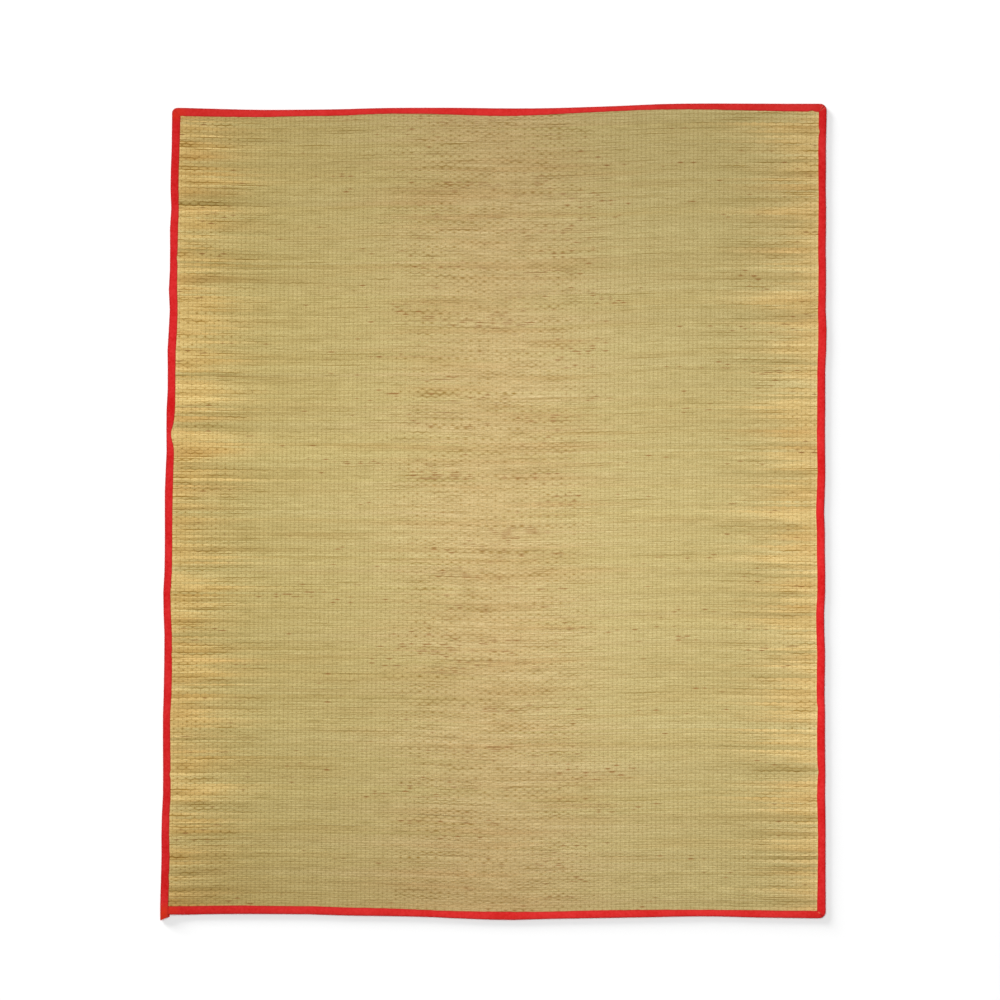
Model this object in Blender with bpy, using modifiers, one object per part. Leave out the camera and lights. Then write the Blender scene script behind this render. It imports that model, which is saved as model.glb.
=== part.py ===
"""Woven straw floor mat with a red binding tape, lying flat on the floor.

Metres, +Z up. The straws run along X and the warp threads along Y. The origin is on the floor,
under the middle of the mat's bounding box. Tables are in millimetres.
"""

from collections import namedtuple
from math import cos, pi, sin

import bmesh
import bpy

MM = 0.001

# Overall size, over the widest points of the binding and the tip of its tail
MAT_WIDTH = 1500 * MM
MAT_LENGTH = 1838 * MM

# Sheets, and the clearance between two layers
PANEL_THICKNESS = 2.2 * MM
RIM_THICKNESS = 1.2 * MM
TAPE_THICKNESS = 1.0 * MM
LAYER_GAP = 0.3 * MM
LAYER_STEP = TAPE_THICKNESS + LAYER_GAP
WELD_DISTANCE = 0.01 * MM

# The tape's fold: flange, gap, panel rim, gap, flange
FOLD_HEIGHT = 2 * LAYER_STEP + RIM_THICKNESS
FOLD_RADIUS = (FOLD_HEIGHT - TAPE_THICKNESS) / 2
FOLD_STEPS = 4
UNDERSIDE_SETBACK = 3 * MM

# The panel's edge inside the fold, and the slope from its raised rim down to the floor
PANEL_EDGE = 4 * MM
PANEL_CORNER_CUT = 8 * MM
SLOPE_START = 2 * MM
SLOPE_END = 47 * MM
SLOPE_HALF = (SLOPE_START + SLOPE_END) / 2
SLOPE_HALF_RISE = 0.3

# The tape's start and its raw cut tail, in the bottom left corner
TAPE_START = 2.4 * MM
TAIL_SLANT = 8 * MM
TAIL_HEIGHT = 3.2 * MM

# The rounding of the three mitred corners
MITRE_STEPS = 5
WIDE_MITRE = 15 * MM
TIGHT_MITRE = 8 * MM

# Sections along the tape; the panel has a line at every second one
STATION_STEP = 45 * MM
STATION_MARGIN = 100 * MM
PANEL_EVERY = 2

# Each side's unevenness: the place along the side from the mat's middle, how far the fold lies
# inside the bounding box there, and how wide the tape shows
Row = namedtuple("Row", "along inward band")

LEFT_ROWS = (
    Row(-900, 0.0, 18.3),
    Row(-760, 3.6, 18.2),
    Row(-705, 3.0, 17.0),
    Row(-640, 6.6, 17.3),
    Row(-460, 6.6, 16.4),
    Row(-400, 8.5, 17.8),
    Row(-270, 9.8, 17.0),
    Row(-195, 7.0, 16.2),
    Row(-130, 10.1, 17.0),
    Row(-60, 10.9, 16.6),
    Row(45, 10.9, 17.8),
    Row(85, 12.3, 17.4),
    Row(126, 14.7, 17.9),
    Row(170, 14.4, 13.5),
    Row(215, 14.2, 19.2),
    Row(288, 17.7, 17.0),
    Row(350, 16.9, 18.2),
    Row(390, 17.6, 19.4),
    Row(436, 22.2, 17.7),
    Row(504, 19.9, 18.7),
    Row(565, 23.2, 16.2),
    Row(612, 22.1, 17.9),
    Row(645, 22.7, 18.3),
    Row(690, 25.5, 17.2),
    Row(740, 23.3, 18.3),
    Row(808, 26.0, 17.7),
    Row(890, 27.3, 18.9),
)
RIGHT_ROWS = (
    Row(-870, 2.3, 19.7),
    Row(-800, 2.8, 17.5),
    Row(-700, 2.7, 17.5),
    Row(-635, 3.8, 18.4),
    Row(-590, 3.0, 17.2),
    Row(-525, 4.0, 18.3),
    Row(-440, 3.9, 17.2),
    Row(-400, 5.2, 18.0),
    Row(-325, 3.6, 18.0),
    Row(-240, 6.1, 18.0),
    Row(-160, 2.9, 17.8),
    Row(-110, 4.4, 18.0),
    Row(-38, 4.3, 17.9),
    Row(-8, 6.0, 18.4),
    Row(80, 3.3, 17.8),
    Row(170, 4.1, 18.2),
    Row(240, 3.4, 18.0),
    Row(320, 3.4, 18.0),
    Row(395, 0.0, 19.0),
    Row(450, 2.4, 17.6),
    Row(525, 1.4, 17.2),
    Row(600, 2.4, 17.3),
    Row(665, 1.3, 17.4),
    Row(725, 2.3, 16.2),
    Row(785, 1.6, 17.5),
    Row(845, 2.0, 17.0),
    Row(890, 0.0, 18.0),
)
TOP_ROWS = (
    Row(-700, 9.4, 19.2),
    Row(-645, 11.4, 18.0),
    Row(-525, 14.3, 16.4),
    Row(-455, 14.1, 14.8),
    Row(-345, 12.9, 14.6),
    Row(-255, 10.3, 13.2),
    Row(-140, 9.6, 14.0),
    Row(-75, 9.8, 16.0),
    Row(15, 10.9, 17.5),
    Row(100, 10.9, 15.6),
    Row(150, 9.9, 13.8),
    Row(285, 5.4, 11.5),
    Row(375, 1.3, 12.4),
    Row(465, 0.0, 13.5),
    Row(520, 0.0, 14.5),
    Row(650, 0.6, 17.0),
    Row(690, 0.6, 18.3),
)
BOTTOM_ROWS = (
    Row(-690, 13.0, 19.4),
    Row(-645, 14.1, 19.0),
    Row(-555, 14.8, 19.1),
    Row(-490, 14.5, 18.1),
    Row(-420, 14.0, 18.6),
    Row(-330, 11.2, 18.2),
    Row(-235, 9.9, 17.7),
    Row(-150, 8.0, 15.7),
    Row(-90, 5.2, 16.3),
    Row(30, 1.2, 18.6),
    Row(115, 3.3, 16.5),
    Row(210, 5.0, 17.5),
    Row(330, 7.0, 17.0),
    Row(480, 9.4, 14.8),
    Row(600, 6.5, 16.6),
    Row(660, 5.8, 16.2),
    Row(705, 4.8, 17.2),
)

# A side's fold runs at sign * half, across X for left and right and across Y for top and bottom
Side = namedtuple("Side", "rows sign half")
LEFT = Side(LEFT_ROWS, -1, MAT_WIDTH / 2)
RIGHT = Side(RIGHT_ROWS, 1, MAT_WIDTH / 2)
BOTTOM = Side(BOTTOM_ROWS, -1, MAT_LENGTH / 2)
TOP = Side(TOP_ROWS, 1, MAT_LENGTH / 2)

# The panel's lines beside a fold. Each lies inset + share * band inside it. Rise is the share of
# the rim's lift that the line has, and climb its share of a second lift, near the tape's overlap
Line = namedtuple("Line", "inset share rise climb thickness")
RIM_LINES = (
    Line(PANEL_EDGE, 0, 1, 1, RIM_THICKNESS),
    Line(SLOPE_START, 1, 1, 1, RIM_THICKNESS),
    Line(SLOPE_HALF, 1, SLOPE_HALF_RISE, 0.5, PANEL_THICKNESS),
    Line(SLOPE_END, 1, 0, 0, PANEL_THICKNESS),
)
INNER_LINE = Line(0, 0, 0, 0, PANEL_THICKNESS)

# A section across the tape: its place along the side, its lift and the height of its fold
Section = namedtuple("Section", "along lift height")

# A strand along the tape lies inset + share * band inside the fold. Up runs from 0 on the
# underside to 1 on top
Strand = namedtuple("Strand", "inset share up")

# Where a panel line runs: the side that it follows, or none and a fixed place, and its row above
Course = namedtuple("Course", "side place line")

STRAW_COLOUR = (0.52, 0.40, 0.17, 1.0)
STRAW_ROUGHNESS = 0.6
TAPE_COLOUR = (0.70, 0.018, 0.022, 1.0)
TAPE_ROUGHNESS = 0.75


def clear_scene():
    for thing in list(bpy.data.objects):
        bpy.data.objects.remove(thing)


def slope(rows, column, index):
    """A column's mean change per millimetre around one row."""
    before = rows[max(index - 1, 0)]
    after = rows[min(index + 1, len(rows) - 1)]
    return (getattr(after, column) - getattr(before, column)) / (after.along - before.along)


def read(rows, column, along):
    """A column's value in metres at a place along the side, on a smooth curve through the rows."""
    place = along / MM
    if place <= rows[0].along:
        return getattr(rows[0], column) * MM
    if place >= rows[-1].along:
        return getattr(rows[-1], column) * MM
    index = max(i for i, row in enumerate(rows[:-1]) if row.along <= place)
    length = rows[index + 1].along - rows[index].along
    t = (place - rows[index].along) / length
    value = (
        (2 * t**3 - 3 * t**2 + 1) * getattr(rows[index], column)
        + (t**3 - 2 * t**2 + t) * length * slope(rows, column, index)
        + (3 * t**2 - 2 * t**3) * getattr(rows[index + 1], column)
        + (t**3 - t**2) * length * slope(rows, column, index + 1)
    )
    return max(value, 0) * MM


def across(side, along, inset, share):
    """The coordinate across a side, at a distance of inset + share * band inside its fold."""
    inward = read(side.rows, "inward", along) + inset + share * read(side.rows, "band", along)
    return side.sign * (side.half - inward)


def corner(upright, level, inset, share):
    """Where a line beside a left or right fold meets the like line beside a top or bottom one."""
    x, y = upright.sign * upright.half, level.sign * level.half
    for _ in range(3):
        x, y = across(upright, y, inset, share), across(level, x, inset, share)
    return x, y


def stations(half):
    """Evenly spread places along a side, clear of its corners, from low to high."""
    reach = half - STATION_MARGIN
    count = PANEL_EVERY * round(2 * reach / STATION_STEP / PANEL_EVERY)
    return [reach * (2 * i / count - 1) for i in range(count + 1)]


def start_sections():
    """The bottom run from its start, which is lifted over the tape's end, to where it lies flat."""
    fold = corner(LEFT, BOTTOM, 0, 0)[0]
    inner = corner(LEFT, BOTTOM, 0, 1)[0]
    sections = [Section(fold + TAPE_START, LAYER_STEP, FOLD_HEIGHT)]
    for line in RIM_LINES[1:]:
        sections.append(Section(inner + line.inset, line.climb * LAYER_STEP, FOLD_HEIGHT))
    return sections


def end_sections():
    """The left run's last stretch, whose fold opens to take in the lifted rim and the start."""
    fold = corner(LEFT, BOTTOM, 0, 0)[1]
    inner = corner(LEFT, BOTTOM, 0, 1)[1]
    sections = []
    for line in reversed(RIM_LINES[1:]):
        layers = line.climb + (line.rise == 1)
        sections.append(Section(inner + line.inset, 0, FOLD_HEIGHT + layers * LAYER_STEP))
    sections.append(Section(fold, 0, FOLD_HEIGHT + 2 * LAYER_STEP))
    return sections


def flat_sections(half):
    return [Section(place, 0, FOLD_HEIGHT) for place in stations(half)]


def strand_height(strand, section):
    return section.lift + TAPE_THICKNESS / 2 + strand.up * (section.height - TAPE_THICKNESS)


def mitre_points(strand, upright, level, radius, level_first):
    """A strand's way round a mitred corner: an arc outside, a sharp turn past its centre."""
    x, y = corner(upright, level, strand.inset, strand.share)
    band = read(upright.rows, "band", y)
    radius = max(radius - strand.inset - strand.share * band, 0)
    z = strand_height(strand, Section(0, 0, FOLD_HEIGHT))
    points = []
    for step in range(MITRE_STEPS + 1):
        turn = pi / 2 * step / MITRE_STEPS
        if level_first:
            turn = pi / 2 - turn
        arc_x = x - upright.sign * radius * (1 - cos(turn))
        arc_y = y - level.sign * radius * (1 - sin(turn))
        points.append((arc_x, arc_y, z))
    return points


def tail_point(strand):
    """A strand's end on the tail's slanted raw cut, pressed nearly flat."""
    fold = across(LEFT, -BOTTOM.half, 0, 0)
    x = across(LEFT, -BOTTOM.half, strand.inset, strand.share)
    cut = TAIL_SLANT * (x - fold) / read(LEFT.rows, "band", -BOTTOM.half)
    return x, -BOTTOM.half + cut, strand_height(strand, Section(0, 0, TAIL_HEIGHT))


def strand_points(strand):
    """One strand along the whole tape: bottom, right, top, left and tail."""
    inset, share = strand.inset, strand.share
    level = flat_sections(MAT_WIDTH / 2)
    upright = flat_sections(MAT_LENGTH / 2)
    points = []
    for s in start_sections() + level:
        points.append((s.along, across(BOTTOM, s.along, inset, share), strand_height(strand, s)))
    points += mitre_points(strand, RIGHT, BOTTOM, WIDE_MITRE, True)
    for s in upright:
        points.append((across(RIGHT, s.along, inset, share), s.along, strand_height(strand, s)))
    points += mitre_points(strand, RIGHT, TOP, WIDE_MITRE, False)
    for s in reversed(level):
        points.append((s.along, across(TOP, s.along, inset, share), strand_height(strand, s)))
    points += mitre_points(strand, LEFT, TOP, TIGHT_MITRE, True)
    for s in upright[::-1] + end_sections():
        points.append((across(LEFT, s.along, inset, share), s.along, strand_height(strand, s)))
    return points + [tail_point(strand)]


def tape_strands():
    """The tape's section, from its inner edge below, round the fold, to its inner edge on top."""
    strands = [Strand(-UNDERSIDE_SETBACK, 1, 0)]
    centre = FOLD_RADIUS + TAPE_THICKNESS / 2
    for step in range(FOLD_STEPS + 1):
        angle = pi * (step / FOLD_STEPS - 0.5)
        strands.append(Strand(centre - FOLD_RADIUS * cos(angle), 0, (1 + sin(angle)) / 2))
    return strands + [Strand(0, 1, 1)]


def panel_courses(low, high, half):
    """The panel's lines from one side to the other, the stations between the rims included."""
    near = [Course(low, 0, line) for line in RIM_LINES]
    inner = [Course(None, place, INNER_LINE) for place in stations(half)[::PANEL_EVERY]]
    far = [Course(high, 0, line) for line in reversed(RIM_LINES)]
    return near + inner + far


def course_place(course, along, cut):
    if course.side is None:
        return course.place
    inset = PANEL_CORNER_CUT if cut else course.line.inset
    return across(course.side, along, inset, course.line.share)


def panel_point(column, row):
    """Where two panel lines cross, with the outermost point of each corner cut back."""
    cut = column.line is RIM_LINES[0] and row.line is RIM_LINES[0]
    x, y = 0, 0
    for _ in range(4):
        x, y = course_place(column, y, cut), course_place(row, x, cut)
    lift = max(column.line.rise, row.line.rise)
    if column.side is LEFT and row.side is BOTTOM:
        lift += column.line.climb * row.line.climb
    return x, y, lift * LAYER_STEP


def warped_grid(name, columns, rows, place, thickness=None):
    """A grid mesh with each vertex where place(column, row) says. Meeting vertices are welded."""
    grid = bmesh.new()
    bmesh.ops.create_grid(grid, x_segments=columns - 1, y_segments=rows - 1, size=0.5)
    weights = grid.verts.layers.deform.verify()
    for vert in grid.verts:
        column = round((vert.co.x + 0.5) * (columns - 1))
        row = round((vert.co.y + 0.5) * (rows - 1))
        vert.co = place(column, row)
        vert[weights][0] = thickness(column, row) if thickness else 1.0
    bmesh.ops.remove_doubles(grid, verts=grid.verts, dist=WELD_DISTANCE)
    bmesh.ops.recalc_face_normals(grid, faces=grid.faces)
    mesh = bpy.data.meshes.new(name)
    grid.to_mesh(mesh)
    grid.free()
    made = bpy.data.objects.new(name, mesh)
    made.vertex_groups.new(name="thickness")
    return made


def thicken(thing, thickness, offset):
    """Turns an open sheet into a closed solid, thinner where its vertices weigh less."""
    solidify = thing.modifiers.new("thickness", "SOLIDIFY")
    solidify.thickness = thickness
    solidify.offset = offset
    solidify.vertex_group = "thickness"
    solidify.use_even_offset = True


def material(name, colour, roughness):
    made = bpy.data.materials.new(name)
    made.use_nodes = True
    made.diffuse_color = colour
    shader = made.node_tree.nodes["Principled BSDF"]
    shader.inputs["Base Color"].default_value = colour
    shader.inputs["Roughness"].default_value = roughness
    shader.inputs["Metallic"].default_value = 0.0
    return made


def woven_panel():
    """The sheet of straws: flat on the floor, its rim raised by the tape under it."""
    columns = panel_courses(LEFT, RIGHT, MAT_WIDTH / 2)
    rows = panel_courses(BOTTOM, TOP, MAT_LENGTH / 2)

    def place(column, row):
        return panel_point(columns[column], rows[row])

    def thickness(column, row):
        thin = min(columns[column].line.thickness, rows[row].line.thickness)
        return thin / PANEL_THICKNESS

    panel = warped_grid("woven_panel", len(columns), len(rows), place, thickness)
    thicken(panel, PANEL_THICKNESS, 1)
    panel.data.materials.append(material("straw", STRAW_COLOUR, STRAW_ROUGHNESS))
    return panel


def binding_tape():
    """One tape folded over all four edges; it starts under and ends over its own start."""
    strands = [strand_points(strand) for strand in tape_strands()]

    def place(column, row):
        return strands[row][column]

    tape = warped_grid("binding_tape", len(strands[0]), len(strands), place)
    thicken(tape, TAPE_THICKNESS, 0)
    tape.data.materials.append(material("red_tape", TAPE_COLOUR, TAPE_ROUGHNESS))
    return tape


def main():
    clear_scene()
    straw_mat = bpy.data.collections.new("straw_mat")
    bpy.context.scene.collection.children.link(straw_mat)
    for piece in (woven_panel(), binding_tape()):
        straw_mat.objects.link(piece)


main()
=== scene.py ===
"""The looks of a woven straw floor mat with a red binding tape, lying flat on a pale floor.

Metres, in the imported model's frame: the straws run along X, the warp threads along Y, and the
floor is at Z 0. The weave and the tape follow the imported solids, which are met by rays.
"""

from collections import namedtuple
from math import cos, exp, pi, radians, sin, tan

import bmesh
import bpy
import numpy as np
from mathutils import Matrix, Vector, noise
from mathutils.bvhtree import BVHTree


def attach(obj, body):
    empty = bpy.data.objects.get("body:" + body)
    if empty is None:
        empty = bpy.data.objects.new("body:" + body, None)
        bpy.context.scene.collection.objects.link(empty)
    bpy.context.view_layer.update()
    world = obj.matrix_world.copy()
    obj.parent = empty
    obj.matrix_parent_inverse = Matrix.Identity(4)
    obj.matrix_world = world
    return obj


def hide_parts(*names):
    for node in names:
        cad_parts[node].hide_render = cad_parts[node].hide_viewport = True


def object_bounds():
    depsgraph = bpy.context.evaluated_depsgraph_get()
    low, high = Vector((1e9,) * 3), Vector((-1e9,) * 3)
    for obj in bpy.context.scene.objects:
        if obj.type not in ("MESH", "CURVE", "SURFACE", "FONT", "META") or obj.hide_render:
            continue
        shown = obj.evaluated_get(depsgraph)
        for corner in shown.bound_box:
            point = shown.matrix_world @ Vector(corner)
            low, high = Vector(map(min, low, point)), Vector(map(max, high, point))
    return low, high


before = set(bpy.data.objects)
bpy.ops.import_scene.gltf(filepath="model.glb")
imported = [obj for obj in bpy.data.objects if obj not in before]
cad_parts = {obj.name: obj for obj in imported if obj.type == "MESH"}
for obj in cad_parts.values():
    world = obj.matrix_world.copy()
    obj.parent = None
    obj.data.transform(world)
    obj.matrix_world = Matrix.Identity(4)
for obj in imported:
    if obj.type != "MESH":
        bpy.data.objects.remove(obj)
cad_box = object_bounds()

MM = 0.001
SEED = 20

# The photograph's frame: its width on the floor, and where its middle lies
VIEW_WIDTH = 2.25
VIEW_CENTRE = (14.9 * MM, 27.0 * MM)
CAMERA_HEIGHT = 9.0
CAMERA_REACH = 100.0
SENSOR_WIDTH = 36.0

# Weave: threads along Y, and rows of straws along X of uneven heights
WARP_COUNT = 151
WARP_RADIUS = 0.42 * MM
THREAD_OUT = 0.1
THREAD_SIDES = 3
ROW_COUNT = 342
ROW_SPREAD = 0.26
ROW_LEAST = 0.55
ROW_MOST = 1.8
BAND_COUNT = 5
PANEL_EDGE = 4 * MM
END_MARGIN = 3 * MM

# A straw's section, in shares of the panel's thickness and of the straw's half width
DIP_TOP = 0.62
DIP_BOTTOM = 0.03
RISE_TOP = 0.99
RISE_BOTTOM = 0.38
CROWN = 0.55
OVERLAP = 0.12 * MM

# A wave of smooth noise: its length along X, its step from row to row, which well under 1 draws
# bands of several rows, and its seed
Wave = namedtuple("Wave", "length step seed")
NOISE_GAIN = 3.6

# Along its borders a row drops here and there into a dark line, painted shade that is less dark
# over a thread
GAP_WAVE = Wave(220 * MM, 3.7, 1.9)
GAP_FROM = 1.1
GAP_RANGE = 1.1
GAP_DROP = 0.25
GAP_OVER = 0.5

# How much painted shade darkens a border: everywhere, with its soft noise and past a strong wave
# of that, over a thread, how much more under one, and how much more towards the mat's top edge
BORDER_WAVE = Wave(55 * MM, 2.9, 4.4)
BORDER_LEAST = 0.45
BORDER_SOFT = 0.2
BORDER_STRONG = 0.75
BORDER_FROM = 0.7
BORDER_OVER = 0.7
BORDER_DIP = 0.6
TOP_FROM = 0.75
TOP_GAIN = 0.4

# How plainly a row shows its dots, painted shade where a thread presses it, and by how much each
# differs from its neighbours
DOTS_WAVE = Wave(130 * MM, 1.9, 8.3)
DOTS_LEAST = 0.1
DOTS_MEAN = 0.62
DOTS_SPREAD = 0.28
DOT_RANGE = (0.5, 1.25)

# Single brown dashes and their loose clusters, and what the sum has to pass
BROWN_WAVE = Wave(10 * MM, 5.3, 7.7)
CLUSTER_WAVE = Wave(170 * MM, 1 / 3.5, 2.6)
CLUSTER_SHARE = 0.6
BROWN_FROM = 2.4

# Tones: long bands of like straws, streaks of one straw, thin rows paler as a painted highlight,
# and each straw's own
BAND_WAVE = Wave(500 * MM, 1 / 8, 3.7)
BAND_SHARE = 0.35
STREAK_WAVE = Wave(280 * MM, 2.3, 6.1)
STREAK_SHARE = 0.85
THIN_HIGHLIGHT = 1.9
OWN_TONE = 0.5

# How much lighter the straws are beside the tape, and between which distances that fades
END_LIGHT = 4.0
END_FADE = (13 * MM, 25 * MM)

# How far from its root a straw's colours start: for rows together, for each alone, and more at
# the bottom edge
ROOT_ROWS = 7
ROOT_SEED = 2.2
ROOT_DRIFT = 27 * MM
ROOT_SPREAD = 36 * MM
ROOT_BOTTOM = 60 * MM

# How much more or less than its zone's swell a border bows
BOW_WAVE = Wave(60 * MM, 1.7, 3.3)
BOW_SPREAD = 0.4

# Warm bands, and what their wave has to pass. The mat's bottom and top ends are warmer too, all
# but to their right
WARM_WAVE = Wave(300 * MM, 1 / 2.7, 5.8)
WARM_FROM = 0.1
WARM_ENDS = (0.5, 0.3)
END_SHARE = 0.15

# Between which places along X the straws turn cooler and calmer, and how much calmer
RIGHT_PLACES = (0 * MM, 700 * MM)
RIGHT_CALM = 0.22

# How far rows stray from their line, in long and in short waves. The short ones are deeper near
# the left and right edges, and both fade out at the bottom and the top
LONG_WANDER = Wave(260 * MM, 1 / 9, 5.1)
SHORT_WANDER = Wave(30 * MM, 1 / 3.5, 9.4)
LONG_DEPTH = 0.3 * MM
SHORT_DEPTH = 0.12 * MM
EDGE_DEPTH = 0.4 * MM
EDGE_PLACES = (640 * MM, 730 * MM)
WANDER_FADE = 0.02

# The two straws of a row meet in the middle: where their tips end, and how thin a tip is
TIP_NEAREST = 10 * MM
TIP_FURTHEST = 290 * MM
TIP_SHARE = 0.02

# Zones from the mat's middle out: how high a straw's edges lie, how much it swells over a
# thread, how much painted shade darkens it where a thread presses it and how long that dash is,
# how much along its borders and in a line at each thread, how uneven its tone is, how many brown
# dashes it has and how much warmer its warm bands are
Zone = namedtuple("Zone", "place edge swell press dash border grid tone brown warm")
ZONES = (
    Zone(0 * MM, 0.48, 0.18, 1.56, 0.65, 0.44, 0.09, 0.95, 0.76, 0.40),
    Zone(150 * MM, 0.48, 0.16, 1.54, 0.65, 0.44, 0.11, 0.95, 0.70, 0.38),
    Zone(280 * MM, 0.54, 0.08, 0.60, 0.3, 0.26, 0.20, 0.75, 0.30, 0.30),
    Zone(500 * MM, 0.52, 0.08, 0.55, 0.2, 0.28, 0.21, 1.2, 0.00, 0.12),
    Zone(620 * MM, 0.42, 0.14, 1.20, 0.4, 0.60, 0.21, 2.6, 0.20, 0.42),
    Zone(750 * MM, 0.36, 0.18, 1.50, 0.5, 0.80, 0.20, 3.1, 0.35, 0.50),
)

# Levels at the tape: its cloth, the straws' rim in it, one layer with its gap, and the fold
CLOTH = 0.6 * MM
RIM_THICKNESS = 1.2 * MM
LAYER_STEP = 1.3 * MM
FOLD_HEIGHT = 3.8 * MM
TAIL_HEIGHT = 3.2 * MM
TAIL_SLANT = 8 * MM
TAIL_STEPS = 9
UNDERSIDE_SETBACK = 3 * MM
OVERLAP_START = 2 * MM
OVERLAP_END = 47 * MM
TAPE_START = 2.4 * MM
TAPE_STEP = 5 * MM

# Sewing along the tape, in from its inner edge
SEAM_INSET = 2.6 * MM
SEAM_SINK = 0.42 * MM
STITCH_PITCH = 4.2 * MM
STITCH_LENGTH = 3.1 * MM
STITCH_RADIUS = 0.28 * MM
STITCH_SIDES = 5

# A stitch's rings: how far from its middle each lies, and its share of the stitch's radius
STITCH_RINGS = ((-1, 0.35), (-0.56, 0.9), (0.56, 0.9), (1, 0.35))

random = np.random.default_rng(SEED)


def linear(red, green, blue):
    """A colour given as 0 to 255 on a screen, as the shader wants it."""
    shares = [value / 255 for value in (red, green, blue)]
    return (*[s / 12.92 if s <= 0.04045 else ((s + 0.055) / 1.055) ** 2.4 for s in shares], 1.0)


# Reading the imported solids

# Rays: how far off and at what heights they start, how far inside for the inner edge and for a
# corner, in how many rounds a corner is found, at what steps a fold is read, and how far from the
# corners both are read
FAR = 2.0
FOLD_PROBE = 2.05 * MM
INNER_PROBES = [level * MM for level in (3.0, 3.4, 3.8, 4.2, 4.6, 5.0, 5.4, 5.8, 6.2)]
INNER_START = 60 * MM
CORNER_START = 40 * MM
CORNER_ROUNDS = 3
CURVE_STEP = 20 * MM
INNER_CLEARANCE = 4.5 * MM
FOLD_CLEARANCE = 25 * MM

# A side of the mat: the axis across it, 0 for X and 1 for Y, and the sign of its outward way
Side = namedtuple("Side", "axis sign")
LEFT = Side(0, -1)
RIGHT = Side(0, 1)
BOTTOM = Side(1, -1)
TOP = Side(1, 1)


def tree_of(node):
    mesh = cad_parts[node].data
    points = [vert.co.copy() for vert in mesh.vertices]
    return BVHTree.FromPolygons(points, [tuple(face.vertices) for face in mesh.polygons])


PANEL_TREE = tree_of("woven_panel")
TAPE_TREE = tree_of("binding_tape")


def side_point(side, across, along, height):
    return Vector((across, along, height)) if side.axis == 0 else Vector((along, across, height))


def fold_at(side, along):
    """The tape's outermost place across a side, met from outside."""
    start = side_point(side, side.sign * FAR, along, FOLD_PROBE)
    return TAPE_TREE.ray_cast(start, side_point(side, -side.sign, 0, 0))[0][side.axis]


def inner_at(side, along):
    """The tape's inner edge on top, met from inside, at whichever level reaches furthest in."""
    across = fold_at(side, along) - side.sign * INNER_START
    places = []
    for height in INNER_PROBES:
        start = side_point(side, across, along, height)
        hit = TAPE_TREE.ray_cast(start, side_point(side, side.sign, 0, 0))[0]
        if hit is not None:
            places.append(hit[side.axis])
    return min(places, key=abs)


def corner_of(upright, level, find, clearance):
    """Where a line along a left or right side meets the like line along the top or bottom."""
    near = fold_at(level, 0) - level.sign * CORNER_START
    for _ in range(CORNER_ROUNDS):
        x = find(upright, near)
        y = find(level, x - upright.sign * clearance)
        near = y - level.sign * clearance
    return x, y


# A corner: its two sides, its inner and outer point, and the radius of its outer rounding
Corner = namedtuple("Corner", "upright level inner fold radius")


def read_corner(upright, level, radius):
    inner = corner_of(upright, level, inner_at, INNER_CLEARANCE)
    fold = corner_of(upright, level, fold_at, FOLD_CLEARANCE)
    return Corner(upright, level, inner, fold, radius)


BOTTOM_LEFT = read_corner(LEFT, BOTTOM, 5 * MM)
BOTTOM_RIGHT = read_corner(RIGHT, BOTTOM, 15 * MM)
TOP_RIGHT = read_corner(RIGHT, TOP, 15 * MM)
TOP_LEFT = read_corner(LEFT, TOP, 12 * MM)
CORNERS = (BOTTOM_LEFT, BOTTOM_RIGHT, TOP_RIGHT, TOP_LEFT)


def curve_along(side):
    """A side's fold, read at even places between two corners."""
    along = 1 - side.axis
    low = BOTTOM_LEFT.inner[along] + FOLD_CLEARANCE
    high = (TOP_LEFT if along else BOTTOM_RIGHT).inner[along] - FOLD_CLEARANCE
    places = np.linspace(low, high, int((high - low) / CURVE_STEP) + 2)
    return places, np.array([fold_at(side, place) for place in places])


FOLDS = {side: curve_along(side) for side in (LEFT, RIGHT, BOTTOM, TOP)}


def panel_edge(side, along):
    """The straws' limit under the tape, for one place or an array of them."""
    places, across = FOLDS[side]
    return np.interp(along, places, across) - side.sign * PANEL_EDGE


def panel_levels(x, y):
    """The panel's underside and its thickness at a place."""
    x = np.clip(x, panel_edge(LEFT, y) + MM, panel_edge(RIGHT, y) - MM)
    y = np.clip(y, panel_edge(BOTTOM, x) + MM, panel_edge(TOP, x) - MM)
    top = PANEL_TREE.ray_cast(Vector((x, y, FAR)), Vector((0, 0, -1)))[0]
    bottom = PANEL_TREE.ray_cast(Vector((x, y, -FAR)), Vector((0, 0, 1)))[0]
    if top is None or bottom is None:
        return LAYER_STEP, RIM_THICKNESS
    return bottom.z, top.z - bottom.z


# Meshes made of tubes


def add_object(name, data):
    made = bpy.data.objects.new(name, data)
    bpy.context.scene.collection.objects.link(made)
    return made


SHARP_ANGLE = radians(70)


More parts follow.
